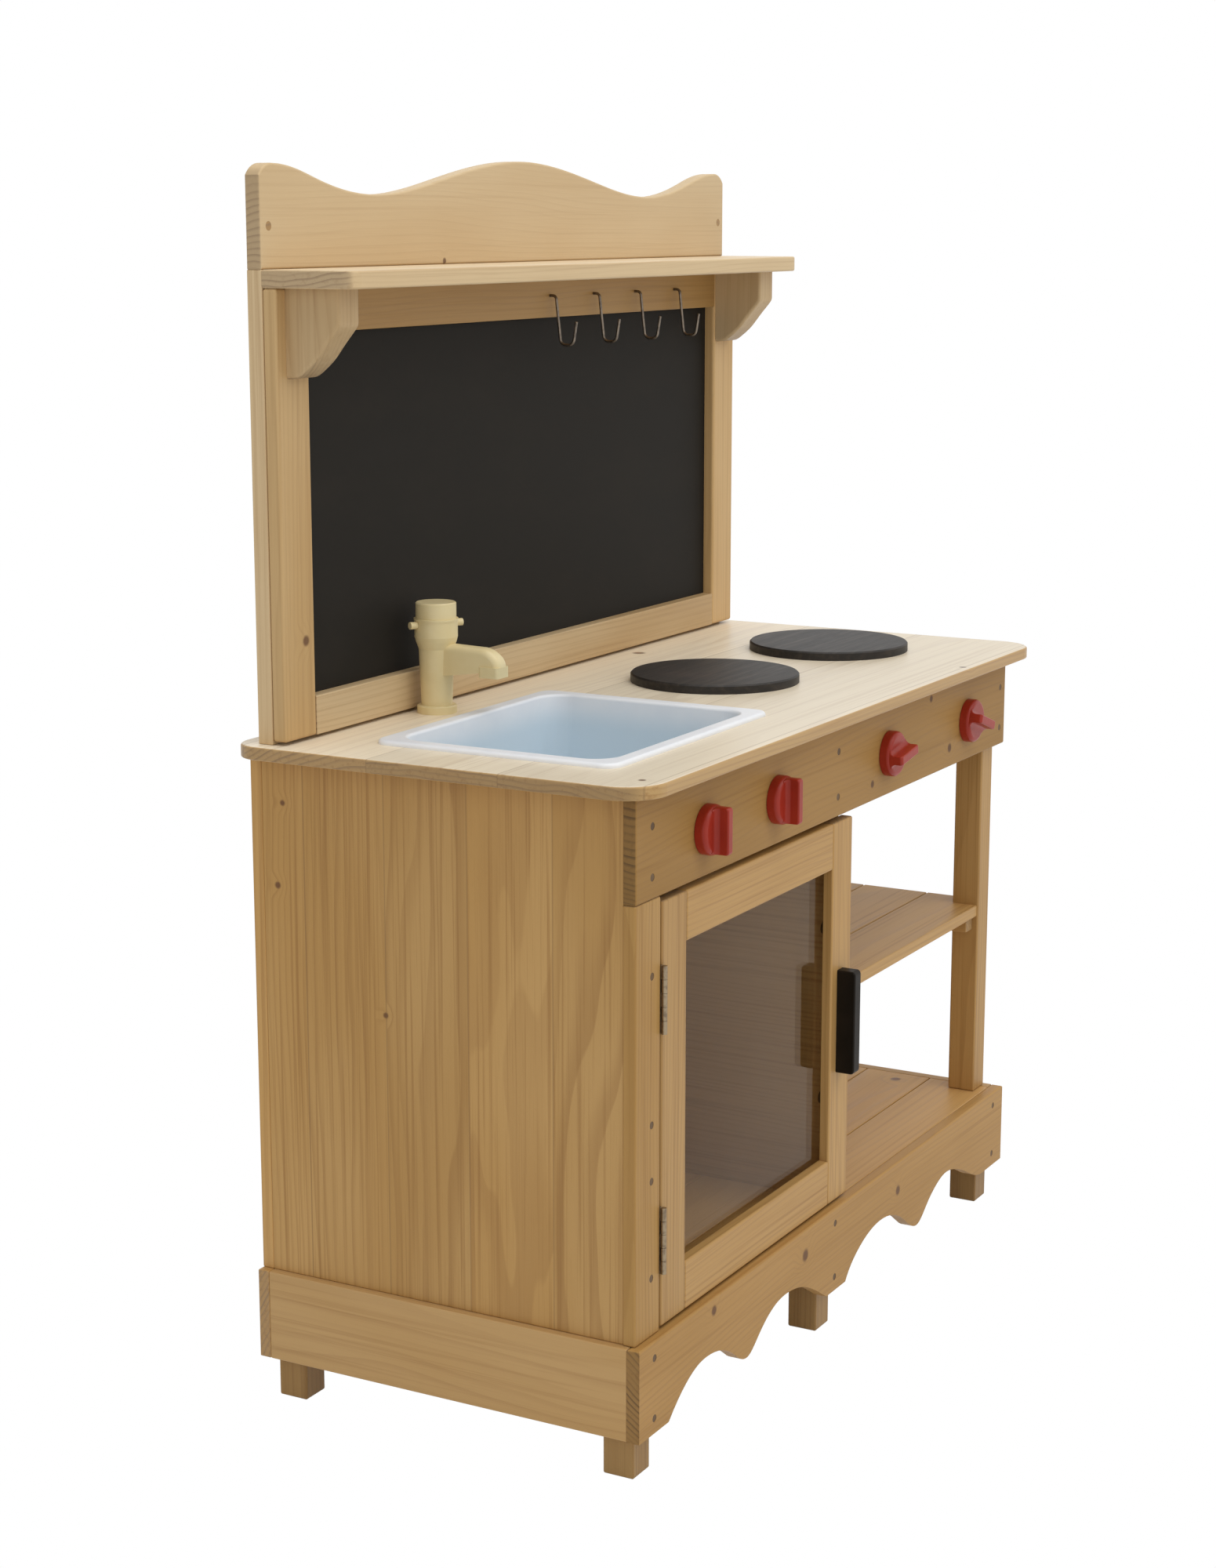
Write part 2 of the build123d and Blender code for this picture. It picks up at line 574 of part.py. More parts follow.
# Turn buttons that keep the pane in its rebate: two on each upright, one on each rail
clip_r, clip_t, clip_set, clip_in = 6.0, 2.0, 3.0, 60.0
clip_spots = [(x, z) for x in (win_x[0] - rebate_w - clip_set, win_x[1] + rebate_w + clip_set)
              for z in (win_z[0] + clip_in, win_z[1] - clip_in)]
clip_spots += [((win_x[0] + win_x[1]) / 2, z)
               for z in (win_z[0] - rebate_w - clip_set, win_z[1] + rebate_w + clip_set)]
with BuildPart() as pane_clips:
    with BuildSketch(Plane.XZ.offset(-y_frame - clip_t)):
        with Locations(*clip_spots):
            Circle(clip_r)
    extrude(amount=clip_t)
save("pane_clips", pane_clips.part)

# Two hinges in the gap beside the door, their knuckles in front of it
leaf_t, leaf_y_inset = 1.1, 1.0
knuckle_r, knuckle_gap, knuckle_air, hinge_l = 2.5, 0.3, 0.3, 60.0
pin_d_r, pin_run = 1.2, 0.05
hinge_x = (door_x0 + stile_w - x_car) / 2
hinge_y = y_rail - knuckle_r - knuckle_air
hinge_in = (79.5, 84.5)
hinge_z = (door_z0 + hinge_in[0], door_z1 - hinge_in[1])
knuckle_count = 5
knuckle_l = hinge_l / knuckle_count


def leaf(x, z, own):
    """Hinge leaf between two x limits with its own knuckles, centred at height z."""
    with BuildPart() as piece:
        with BuildSketch(Plane.XY.offset(z - hinge_l / 2)):
            with Locations(((x[0] + x[1]) / 2, (y_rail + y_frame - leaf_y_inset) / 2)):
                Rectangle(x[1] - x[0], board_t - leaf_y_inset)
        extrude(amount=hinge_l)
        for i in own:
            with BuildSketch(Plane.XY.offset(z - hinge_l / 2 + i * knuckle_l + knuckle_gap / 2)):
                with Locations((hinge_x, hinge_y)):
                    Circle(knuckle_r)
                with Locations(((x[0] + x[1]) / 2, (hinge_y + y_rail) / 2)):
                    Rectangle(x[1] - x[0], y_rail - hinge_y)
                with Locations((hinge_x, hinge_y)):
                    Circle(pin_d_r + pin_run, mode=Mode.SUBTRACT)
            extrude(amount=knuckle_l - knuckle_gap)
    return piece.part


frame_leaves = [leaf((stile_w - x_car, stile_w - x_car + leaf_t), z, (0, 2, 4)) for z in hinge_z]
door_leaves = [leaf((door_x0 - leaf_t, door_x0), z, (1, 3)) for z in hinge_z]
with BuildPart() as hinge_leaves_frame:
    add(frame_leaves)
save("hinge_leaves_frame", hinge_leaves_frame.part)
with BuildPart() as hinge_leaves_door:
    add(door_leaves)
save("hinge_leaves_door", hinge_leaves_door.part)
with BuildPart() as hinge_pins:
    for z in hinge_z:
        with BuildSketch(Plane.XY.offset(z - hinge_l / 2)):
            with Locations((hinge_x, hinge_y)):
                Circle(pin_d_r)
        extrude(amount=hinge_l)
save("hinge_pins", hinge_pins.part)

# Magnetic catch on the divider and its strike plate on the door
catch_w, catch_d, catch_h, catch_in, strike_t, catch_air = 14.0, 18.0, 20.0, 12.5, 1.0, 0.4
catch_z = (door_z1 - catch_in - catch_h, door_z1 - catch_in)
save("door_catch", board((x_div - catch_w, x_div),
                         (y_frame + strike_t + catch_air, y_frame + strike_t + catch_air + catch_d),
                         catch_z, 0.8))
save("catch_strike", board((x_div - catch_w + 1, x_div - 1.5), (y_frame, y_frame + strike_t),
                           (catch_z[0] + 1, catch_z[1] - 1), 0.3))

# Back of the kitchen: uprights, two cross rails and a crested board behind
back_air, back_t, post_w = 10.3, 15.3, 40.0
back_y1 = y_back - back_air
back_y0 = back_y1 - back_t
back_out, back_h, cross_h = 15.0, 406.5, (50.0, 47.0)
back_x, crest_z = x_car + back_out, top_z + back_h
crest_peak, crest_dip, crest_horn, crest_end = 95.0, 63.0, 88.0, 78.0    # over the uprights
crest_dip_x, crest_horn_in, crest_round, crest_ease = 268.0, 19.0, 22.0, 2.0
cross_rails = ((top_z, top_z + cross_h[0]), (crest_z - cross_h[1], crest_z))

upright_pieces = [board(x, (back_y0, back_y1), (top_z, crest_z))
                  for x in ((-back_x, post_w - back_x), (back_x - post_w, back_x))]
with BuildPart() as back_uprights:
    add(upright_pieces)
save("back_uprights", back_uprights.part)

cross_pieces = [board((post_w - back_x, back_x - post_w), (back_y0, back_y1), z)
                for z in cross_rails]
with BuildPart() as back_cross_rails:
    add(cross_pieces)
save("back_cross_rails", back_cross_rails.part)

plug_r, plug_t, plug_in, plug_up = 4.0, 6.0, 12.0, 36.0
plug_x, plug_z = back_x - plug_in, crest_z + plug_up
crest_horn_x = back_x - crest_horn_in
crest_mid = (crest_peak + crest_dip) / 2
crest_low = (crest_dip + crest_horn) / 2 - 1.0
crest_line = [(crest_dip_x / 2, crest_mid), (crest_dip_x, crest_dip),
              ((crest_dip_x + crest_horn_x) / 2, crest_low), (crest_horn_x, crest_horn)]
half_crest = [(x, crest_z + rise) for x, rise in crest_line]
with BuildPart() as crest_board:
    with BuildSketch(Plane.XZ.offset(-back_y1)):
        with BuildLine():
            Spline(*[(-x, z) for x, z in reversed(half_crest)], (0, crest_z + crest_peak),
                   *half_crest, tangents=((1, 0), (1, 0)))
            for side in (1, -1):
                RadiusArc((side * crest_horn_x, crest_z + crest_horn),
                          (side * back_x, crest_z + crest_end), side * crest_round)
                Line((side * back_x, crest_z + crest_end), (side * back_x, crest_z))
            Line((-back_x, crest_z), (back_x, crest_z))
        make_face()
    extrude(amount=back_t)
    fillet(crest_board.faces().sort_by(Axis.Y)[0].edges(), crest_ease)
    fillet(crest_board.faces().sort_by(Axis.Y)[-1].edges(), crest_ease)
    with BuildSketch(Plane.XZ.offset(-back_y0 - plug_t)):
        with Locations((-plug_x, plug_z), (plug_x, plug_z)):
            Circle(plug_r)
    extrude(amount=plug_t, mode=Mode.SUBTRACT)
save("crest_board", crest_board.part)

with BuildPart() as crest_plugs:
    with BuildSketch(Plane.XZ.offset(-back_y0 - plug_t)):
        with Locations((-plug_x, plug_z), (plug_x, plug_z)):
            Circle(plug_r)
    extrude(amount=plug_t)
save("crest_plugs", crest_plugs.part)

# Chalkboard in a rebated frame in front
frame_t, frame_stile_w, panel_th, panel_lap = 14.3, 47.0, 2.8, 10.0
frame_lift, frame_low_h, frame_high_h, upper_t = 3.0, 35.0, 38.6, 15.4
frame_y = back_y0 - frame_t
frame_z0, frame_z3 = top_z + frame_lift, crest_z - upper_t
frame_z = (frame_z0, frame_z0 + frame_low_h, frame_z3 - frame_high_h, frame_z3)
chalk_x = back_x - frame_stile_w
with BuildPart() as chalkboard:
    with BuildSketch(Plane.XZ.offset(-back_y0)):
        with Locations((0, (frame_z[1] + frame_z[2]) / 2)):
            Rectangle(2 * (chalk_x + panel_lap), frame_z[2] - frame_z[1] + 2 * panel_lap)
    extrude(amount=panel_th)
save("chalkboard", chalkboard.part)

frame_stile_pieces = [board(x, (frame_y, back_y0), (frame_z[0], frame_z[3]), 3.0)
                      for x in ((-back_x, -chalk_x), (chalk_x, back_x))]
with BuildPart() as frame_stiles:
    add(frame_stile_pieces)
    add(chalkboard.part, mode=Mode.SUBTRACT)
save("frame_stiles", frame_stiles.part)

hook_count, hook_pitch, hook_end = 4, 87.1, 96.2
hook_x = [chalk_x - hook_end - hook_pitch * i for i in reversed(range(hook_count))]
hook_r, hook_in, hook_root = 1.4, 10.0, 17.4
bottom_rail_piece = board((-chalk_x, chalk_x), (frame_y, back_y0), frame_z[0:2])
with BuildPart() as frame_bottom_rail:
    add(bottom_rail_piece)
    add(chalkboard.part, mode=Mode.SUBTRACT)
save("frame_bottom_rail", frame_bottom_rail.part)

hook_rail_piece = board((-chalk_x, chalk_x), (frame_y, back_y0), frame_z[2:4])
with BuildPart() as hook_rail:
    add(hook_rail_piece)
    add(chalkboard.part, mode=Mode.SUBTRACT)
    with BuildSketch(Plane.XZ.offset(-frame_y)):
        with Locations(*[(x, frame_z[3] - hook_root) for x in hook_x]):
            Circle(hook_r)
    extrude(amount=-hook_in, mode=Mode.SUBTRACT)
save("hook_rail", hook_rail.part)

hook_z = frame_z[3]
bend_r, loop_r = 4.0, 6.3
hook_line = ((-7.0, -17.4), (-9.6, -41.0), (-12.4, -65.0), (-26.2, -65.0), (-30.0, -42.4))
with BuildPart() as hooks:           # line: out from the rail, down from the shelf
    for x in hook_x:
        with BuildLine(Plane.YZ.offset(x)) as wire:
            bend, middle, heel, toe, tip = [(frame_y + u, hook_z + v) for u, v in hook_line]
            FilletPolyline((frame_y + hook_in, hook_z - hook_root), bend, middle, radius=bend_r)
            FilletPolyline(middle, heel, toe, tip, radius=loop_r)
        with BuildSketch(Plane((x, frame_y + hook_in, hook_z - hook_root), z_dir=(0, -1, 0))):
            Circle(hook_r)
        sweep(path=wire.line, transition=Transition.ROUND)
save("hooks", hooks.part)

# Upper shelf on two curved brackets
upper_d, upper_r = 92.4, 13.0
with BuildPart() as upper_shelf:
    with BuildSketch(Plane.XY.offset(frame_z[3])) as plan:
        with Locations((0, back_y0 - upper_d / 2)):
            Rectangle(2 * back_x, upper_d)
        fillet(plan.vertices().group_by(Axis.Y)[0], upper_r)
    extrude(amount=upper_t)
    fillet(upper_shelf.edges().group_by(Axis.Z)[-1], 2.0)
    fillet(upper_shelf.edges().group_by(Axis.Z)[0], 2.0)
save("upper_shelf", upper_shelf.part)

bracket_t, bracket_in, bracket_d, bracket_h, bracket_nose = 32.0, 29.0, 54.0, 76.0, 28.0
bracket_x = back_x - bracket_in
bracket_curve = ((bracket_d, bracket_nose), (51, 35), (39, 49), (30, 60), (16, 72),
                 (0, bracket_h))
with BuildPart() as shelf_brackets:
    for x in (-bracket_x, bracket_x):
        with BuildSketch(Plane.YZ.offset(x - bracket_t / 2)):
            with BuildLine():
                Polyline((frame_y, frame_z[3] - bracket_h), (frame_y, frame_z[3]),
                         (frame_y - bracket_d, frame_z[3]),
                         (frame_y - bracket_d, frame_z[3] - bracket_nose))
                Spline(*[(frame_y - d, frame_z[3] - h) for d, h in bracket_curve],
                       tangents=((0, -1), (1, 0)))
            make_face()
        extrude(amount=bracket_t)
    curve = shelf_brackets.edges().filter_by(GeomType.BSPLINE)
    fillet(curve, 3.0)
save("shelf_brackets", shelf_brackets.part)
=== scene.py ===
"""Looks of a pine mud kitchen: glazed cupboard, open bay, basin, tap, hobs and chalkboard."""

from __future__ import annotations

import logging
from dataclasses import dataclass
from enum import Enum
from typing import Any, Protocol

import bpy
from mathutils import Matrix, Vector


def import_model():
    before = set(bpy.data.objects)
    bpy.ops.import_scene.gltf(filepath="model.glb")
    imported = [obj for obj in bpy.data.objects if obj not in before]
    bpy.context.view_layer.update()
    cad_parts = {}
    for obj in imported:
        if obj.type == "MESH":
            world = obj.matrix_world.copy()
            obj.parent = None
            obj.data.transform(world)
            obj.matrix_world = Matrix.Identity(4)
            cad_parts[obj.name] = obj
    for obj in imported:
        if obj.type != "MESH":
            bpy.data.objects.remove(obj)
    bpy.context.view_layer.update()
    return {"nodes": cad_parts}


log = logging.getLogger("mud_kitchen")

Colour = tuple[float, float, float]
Point = tuple[float, float, float]

WHITE: Colour = (1.0, 1.0, 1.0)


class Grain(Enum):
    """The axis that a board's grain runs along."""

    X = 0
    Y = 1
    Z = 2


@dataclass(frozen=True)
class Band:
    """Where a mask starts, where it is full, and its share in a mix; start may be the greater."""

    start: float
    full: float
    share: float = 1.0


@dataclass(frozen=True)
class Stretch:
    """A noise drawn out along a board: its scale across and along, its offset and its detail."""

    across: float
    along: float
    offset: float = 0.0
    detail: float = 2.0
    rough: float = 0.5


class Dye:
    """An output socket that can be used in Python expressions."""

    def __init__(self, nodes: Nodes, socket: bpy.types.NodeSocket) -> None:
        """Wraps an output socket.

        Args:
            nodes: the tree that the socket is in.
            socket: the output socket.
        """
        self.nodes = nodes
        self.socket = socket

    def _maths(self, operation: str, *values: Any) -> Dye:
        """One Math node on these values."""
        return self.nodes.node("ShaderNodeMath", {"operation": operation},
                               dict(enumerate(values)))

    def __add__(self, other: Any) -> Dye:
        """Sum."""
        return self._maths("ADD", self, other)

    __radd__ = __add__

    def __sub__(self, other: Any) -> Dye:
        """Difference."""
        return self._maths("SUBTRACT", self, other)

    def __rsub__(self, other: Any) -> Dye:
        """Difference with this value taken away."""
        return self._maths("SUBTRACT", other, self)

    def __mul__(self, other: Any) -> Dye:
        """Product."""
        return self._maths("MULTIPLY", self, other)

    __rmul__ = __mul__

    def __truediv__(self, other: Any) -> Dye:
        """Quotient."""
        return self._maths("DIVIDE", self, other)

    def __pow__(self, other: Any) -> Dye:
        """Power."""
        return self._maths("POWER", self, other)

    def floor(self) -> Dye:
        """Whole part."""
        return self._maths("FLOOR", self)

    def fract(self) -> Dye:
        """Fractional part."""
        return self._maths("FRACT", self)

    def root(self) -> Dye:
        """Square root."""
        return self._maths("SQRT", self)

    def size(self) -> Dye:
        """Value without its sign."""
        return self._maths("ABSOLUTE", self)

    def low(self, other: Any) -> Dye:
        """The lower of two values."""
        return self._maths("MINIMUM", self, other)

    def high(self, other: Any) -> Dye:
        """The higher of two values."""
        return self._maths("MAXIMUM", self, other)

    def over(self, start: float, full: float) -> Dye:
        """Smooth step from 0 to 1.

        Args:
            start: the value that gives 0; it may be the greater one.
            full: the value that gives 1.

        Returns:
            The step.
        """
        return self.nodes.node(
            "ShaderNodeMapRange", {"interpolation_type": "SMOOTHSTEP"},
            {"Value": self, "From Min": start, "From Max": full})

    def within(self, band: Band) -> Dye:
        """Smooth step over a band."""
        return self.over(band.start, band.full)

    def parts(self) -> tuple[Dye, ...]:
        """X, Y and Z of a vector."""
        node = self.nodes.raw("ShaderNodeSeparateXYZ", {}, {0: self})
        return tuple(Dye(self.nodes, socket) for socket in node.outputs)


class Nodes:
    """A node tree and the one way its nodes are made."""

    def __init__(self, tree: bpy.types.NodeTree) -> None:
        """Empties a tree.

        Args:
            tree: the node tree of a material or a world.
        """
        self.tree = tree
        self.tree.nodes.clear()

    def raw(self, kind: str, settings: dict[str, Any], inputs: dict[Any, Any]) -> bpy.types.Node:
        """Adds a node.

        Args:
            kind: the node's type.
            settings: its properties, set first.
            inputs: values or links by socket name or number.

        Returns:
            The node.
        """
        node = self.tree.nodes.new(kind)
        for key, value in settings.items():
            setattr(node, key, value)
        for key, value in inputs.items():
            socket = node.inputs[key]
            if isinstance(value, Dye):
                self.tree.links.new(value.socket, socket)
            elif isinstance(value, tuple) and len(value) == 3 and socket.type == "RGBA":
                socket.default_value = (*value, 1.0)
            else:
                socket.default_value = value
        return node

    def node(self, kind: str, settings: dict[str, Any], inputs: dict[Any, Any],
             output: Any = 0) -> Dye:
        """Adds a node and gives one of its outputs.

        Args:
            kind: the node's type.
            settings: its properties.
            inputs: values or links by socket name or number.
            output: the output's name or number.

        Returns:
            The output, ready for expressions.
        """
        return Dye(self, self.raw(kind, settings, inputs).outputs[output])

    def rays(self, *kinds: str) -> Dye:
        """Tells kinds of rays from the rest.

        Args:
            kinds: names of Light Path's outputs.

        Returns:
            1 on a ray of any of these kinds, otherwise 0.
        """
        path = self.raw("ShaderNodeLightPath", {}, {})
        first, *others = (Dye(self, path.outputs[kind]) for kind in kinds)
        for other in others:
            first = first.high(other)
        return first

    def blend(self, share: Dye, first: Dye, second: Dye) -> Dye:
        """Mixes two shaders.

        Args:
            share: the second shader's share.
            first: the shader at a share of 0.
            second: the shader at a share of 1.

        Returns:
            The mixed shader.
        """
        return self.node("ShaderNodeMixShader", {}, {0: share, 1: first, 2: second})


class Finish(Nodes):
    """A material with the patterns that its finish is made of."""

    def __init__(self, name: str) -> None:
        """Starts an empty material.

        Args:
            name: the material's name.
        """
        self.material = bpy.data.materials.new(name)
        self.material.use_nodes = True
        super().__init__(self.material.node_tree)
        self._coords = self.raw("ShaderNodeTexCoord", {}, {})

    def place(self) -> Dye:
        """Object coordinates."""
        return Dye(self, self._coords.outputs["Object"])

    def facing(self) -> Dye:
        """Object-space normal."""
        return Dye(self, self._coords.outputs["Normal"])

    def vector(self, x: Any, y: Any, z: Any) -> Dye:
        """Vector of three values."""
        return self.node("ShaderNodeCombineXYZ", {}, {0: x, 1: y, 2: z})

    def noise(self, where: Dye, scale: float, detail: float = 2.0, rough: float = 0.5) -> Dye:
        """Noise from 0 to 1 with its mean at one half.

        Args:
            where: the coordinates that it is read at.
            scale: its scale.
            detail: how many finer layers it has.
            rough: how strong the finer layers are.

        Returns:
            The noise.
        """
        return self.node("ShaderNodeTexNoise", {"noise_dimensions": "3D"},
                         {"Vector": where, "Scale": scale, "Detail": detail, "Roughness": rough})

    def drawn(self, u: Any, v: Any, along: Dye, stretch: Stretch) -> Dye:
        """Noise drawn out along a board.

        Args:
            u: the first coordinate across the grain.
            v: the second coordinate across the grain.
            along: the coordinate along the grain.
            stretch: the noise's scales, offset and detail.

        Returns:
            The noise.
        """
        where = self.vector(u * stretch.across, v * stretch.across,
                            along * stretch.along + stretch.offset)
        return self.noise(where, 1.0, stretch.detail, stretch.rough)

    def mix(self, share: Any, first: Any, second: Any) -> Dye:
        """Mixes two colours.

        Args:
            share: the second colour's share.
            first: the colour at a share of 0.
            second: the colour at a share of 1.

        Returns:
            The mixed colour.
        """
        return self.node("ShaderNodeMix", {"data_type": "RGBA"},
                         {0: share, 6: first, 7: second}, 2)

    def bump(self, height: Dye, depth: float, strength: float) -> Dye:
        """Bumps a surface.

        Args:
            height: the relief, from 0 to 1.
            depth: the relief's full depth in metres.
            strength: how much of it the light sees.

        Returns:
            The bumped normal.
        """
        return self.node("ShaderNodeBump", {},
                         {"Strength": strength, "Distance": depth, "Height": height})

    def end(self, shader: Dye) -> bpy.types.Material:
        """Ends the tree in a shader and gives the material."""
        self.raw("ShaderNodeOutputMaterial", {}, {0: shader})
        return self.material

    def surface(self, **inputs: Any) -> bpy.types.Material:
        """Ends the tree in one Principled shader.

        Args:
            inputs: values or links by socket name, with underscores for spaces.

        Returns:
            The finished material.
        """
        return self.end(self.node("ShaderNodeBsdfPrincipled", {},
                                  {key.replace("_", " "): value for key, value in inputs.items()}))


class Look(Protocol):
    """A finish that makes its own material."""

    name: str

    def make(self) -> bpy.types.Material:
        """Builds the material."""


@dataclass(frozen=True)
class Knot:
    """A knot on a board's face: its place and its radius in metres."""

    place: Point
    radius: float


@dataclass(frozen=True)
class Boards:
    """Boards laid side by side in one node: the axis across them, a seam and the pitch."""

    across: Grain
    seam: float
    pitch: float
    glue_line: float = 0.0


@dataclass(frozen=True)
class Growth:
    """How the tree grew, the same for every board; lengths in metres."""

    ring: float = 0.0052
    shuffle: float = 0.05
    slip: float = 3.7
    heart_u: float = 0.035
    heart_v: float = 0.05
    heart_v_shuffle: float = 0.03
    wander: float = 0.055
    ripple: float = 0.014
    slow: Stretch = Stretch(5.0, 1.1)
    wave: Stretch = Stretch(16.0, 2.6, 4.0, rough=0.45)
    years: Stretch = Stretch(70.0, 0.8)
    late_wood: Band = Band(0.45, 0.95)
    ring_edge: Band = Band(1.0, 0.95)
    strong_years: Band = Band(0.32, 0.70)
    faint_ring: float = 0.25
    knot_push: float = 1.7
    knot_reach: float = 4.5
    knot_edge: float = 1.25
    knot_core: float = 0.55


@dataclass(frozen=True)
class Figure:
    """The layers seen on a planed pine face, and the shares that they are mixed in at."""

    fibre: Stretch = Stretch(900.0, 14.0, rough=0.6)
    streak: Stretch = Stretch(240.0, 2.2, detail=3.0, rough=0.6)
    cloud: Stretch = Stretch(9.0, 3.0, 9.0)
    clouds: Band = Band(0.30, 0.72)
    rings: float = 0.38
    streaks: Band = Band(0.50, 0.70, 0.42)
    fibres: Band = Band(0.54, 0.78, 0.18)
    end_facing: Band = Band(0.55, 0.9)
    end_share: float = 0.44
    end_rings: float = 0.50
    # top_facing and top_fade: where the painted top light falls on faces turned upwards, and how
    # much it fades the grain lines there
    top_facing: Band = Band(0.75, 0.98)
    top_fade: float = 0.7
    knot_share: float = 0.85
    glue_share: float = 0.38
    board_to_board: float = 0.18


@dataclass(frozen=True)
class Touch:
    """Roughness and relief of a planed pine face."""

    polish: float = 0.04
    fibre_rough: float = 0.12
    ring_rough: float = 0.06
    ring_height: float = 0.35
    fibre_height: float = 0.45
    end_height: float = 0.4
    depth: float = 0.00022
    strength: float = 0.6


@dataclass(frozen=True)
class Pine:
    """Oiled pine whose growth rings run through the solid board."""

    name: str
    grain: Grain
    seed: float
    tone: float = 1.0
    warmth: float = 0.5
    wander: float = 1.0
    boards: Boards | None = None
    knots: tuple[Knot, ...] = ()
    gloss: float = 0.45
    sheen: float = 0.26
    # painted top light: how strongly faces turned upwards are mixed towards a pale colour,
    # standing in for strong light from above and its glare
    painted_top_light: float = 0.0
    contrast: float = 1.0
    pale: Colour = (0.560, 0.335, 0.122)
    end_grain: Colour = (0.29, 0.195, 0.115)
    late: Colour = (0.290, 0.135, 0.034)
    honey: Colour = (0.470, 0.258, 0.074)
    # the pale colour of that painted top light and glare
    painted_top_light_colour: Colour = (0.88, 0.785, 0.615)
    knot_brown: Colour = (0.12, 0.045, 0.018)
    glue_brown: Colour = (0.20, 0.11, 0.045)
    growth: Growth = Growth()
    figure: Figure = Figure()
    touch: Touch = Touch()

    def _knots(self, f: Finish) -> tuple[Any, Any]:
        """Draws the knots.

        Args:
            f: the finish.

        Returns:
            The mask of the knots, and how far they push the rings outwards.
        """
        mark: Any = 0.0
        push: Any = 0.0
        grow = self.growth
        for knot in self.knots:
            away = f.node("ShaderNodeVectorMath", {"operation": "DISTANCE"},
                          {0: f.place(), 1: knot.place}, "Value")
            push = push + (away.over(knot.radius * grow.knot_reach, 0.0)
                           * (knot.radius * grow.knot_push))
            mark = away.over(knot.radius * grow.knot_edge, knot.radius * grow.knot_core).high(mark)
        return mark, push

    def _late_wood(self, f: Finish, across: tuple[Dye, Dye], along: Dye,
                   luck: tuple[Dye, ...], push: Any) -> Dye:
        """Draws the dark part of the growth rings.

        Args:
            f: the finish.
            across: the two coordinates across the grain.
            along: the coordinate along the grain.
            luck: the board's three random values.
            push: how far knots push the rings outwards.

        Returns:
            The mask of the late wood.
        """
        grow = self.growth
        u, v = across
        slow = f.drawn(u, v, along, grow.slow)
        wave = f.drawn(u, v, along, grow.wave)
        far_u = u + grow.heart_u + luck[1] * grow.shuffle
        far_v = v + grow.heart_v + luck[2] * grow.heart_v_shuffle
        radius = (far_u * far_u + far_v * far_v).root()
        radius = (radius + (slow - 0.5) * grow.wander * self.wander
                  + (wave - 0.5) * grow.ripple + push)
        turn = (radius / grow.ring).fract()
        late = turn.within(grow.late_wood) * turn.within(grow.ring_edge)
        strength = f.drawn(radius, 0.0, along, grow.years).within(grow.strong_years)
        return late * (grow.faint_ring + strength * (1.0 - grow.faint_ring))

    def make(self) -> bpy.types.Material:
        """Builds the material.

        Returns:
            The finished material.
        """
        f = Finish(self.name)
        grow, figure, touch, boards = self.growth, self.figure, self.touch, self.boards
        axes = f.place().parts()
        lane = (axes[boards.across.value] - boards.seam) / boards.pitch if boards else None
        board = self.seed if lane is None else lane.floor() + self.seed
        luck = f.node("ShaderNodeTexWhiteNoise", {"noise_dimensions": "1D"}, {"W": board},
                      "Color").parts()
        flat = [axes[i] for i in range(3) if i != self.grain.value]
        u = flat[0] + (luck[0] - 0.5) * grow.shuffle
        v = flat[1] + (luck[1] - 0.5) * grow.shuffle
        along = axes[self.grain.value] + luck[2] * grow.slip

        mark, push = self._knots(f)
        late = self._late_wood(f, (u, v), along, luck, push)
        fibre = f.drawn(u, v, along, figure.fibre)
        streak = f.drawn(u, v, along, figure.streak)
        cloud = f.drawn(u, v, along, figure.cloud)
        normal = f.facing().parts()
        end = normal[self.grain.value].size().within(figure.end_facing)

        base = f.mix(cloud.within(figure.clouds) * self.warmth, self.pale, self.honey)
        lines: Any = self.contrast
        # Painted top light: faces turned upwards are mixed towards a pale colour and their grain
        # lines fade, standing in for strong light from above and its glare.
        if self.painted_top_light:
            top = normal[2].within(figure.top_facing) * self.painted_top_light
            base = f.mix(top, base, self.painted_top_light_colour)
            lines = (1.0 - top * figure.top_fade) * self.contrast
        base = f.mix(late * (lines * figure.rings), base, self.late)
        for layer, band in ((streak, figure.streaks), (fibre, figure.fibres)):
            base = f.mix(layer.within(band) * (lines * band.share), base, self.late)
        base = f.mix(end * (figure.end_share + late * figure.end_rings), base, self.end_grain)
        if self.knots:
            base = f.mix(mark * figure.knot_share, base, self.knot_brown)
        if boards and boards.glue_line:
            near = (lane.fract() - 0.5).size().over(0.5 - boards.glue_line / boards.pitch, 0.5)
            base = f.mix(near * figure.glue_share, base, self.glue_brown)
        tint = (luck[0] - 0.5) * figure.board_to_board + 1.0
        base = f.node("ShaderNodeVectorMath", {"operation": "SCALE"},
                      {0: base, "Scale": tint * self.tone})
        rough = self.gloss - touch.polish + fibre * touch.fibre_rough - late * touch.ring_rough
        height = (late * touch.ring_height + fibre * touch.fibre_height
                  + end * streak * touch.end_height)
        return f.surface(Base_Color=base, Roughness=rough, Specular_IOR_Level=self.sheen,
                         Normal=f.bump(height, touch.depth, touch.strength))


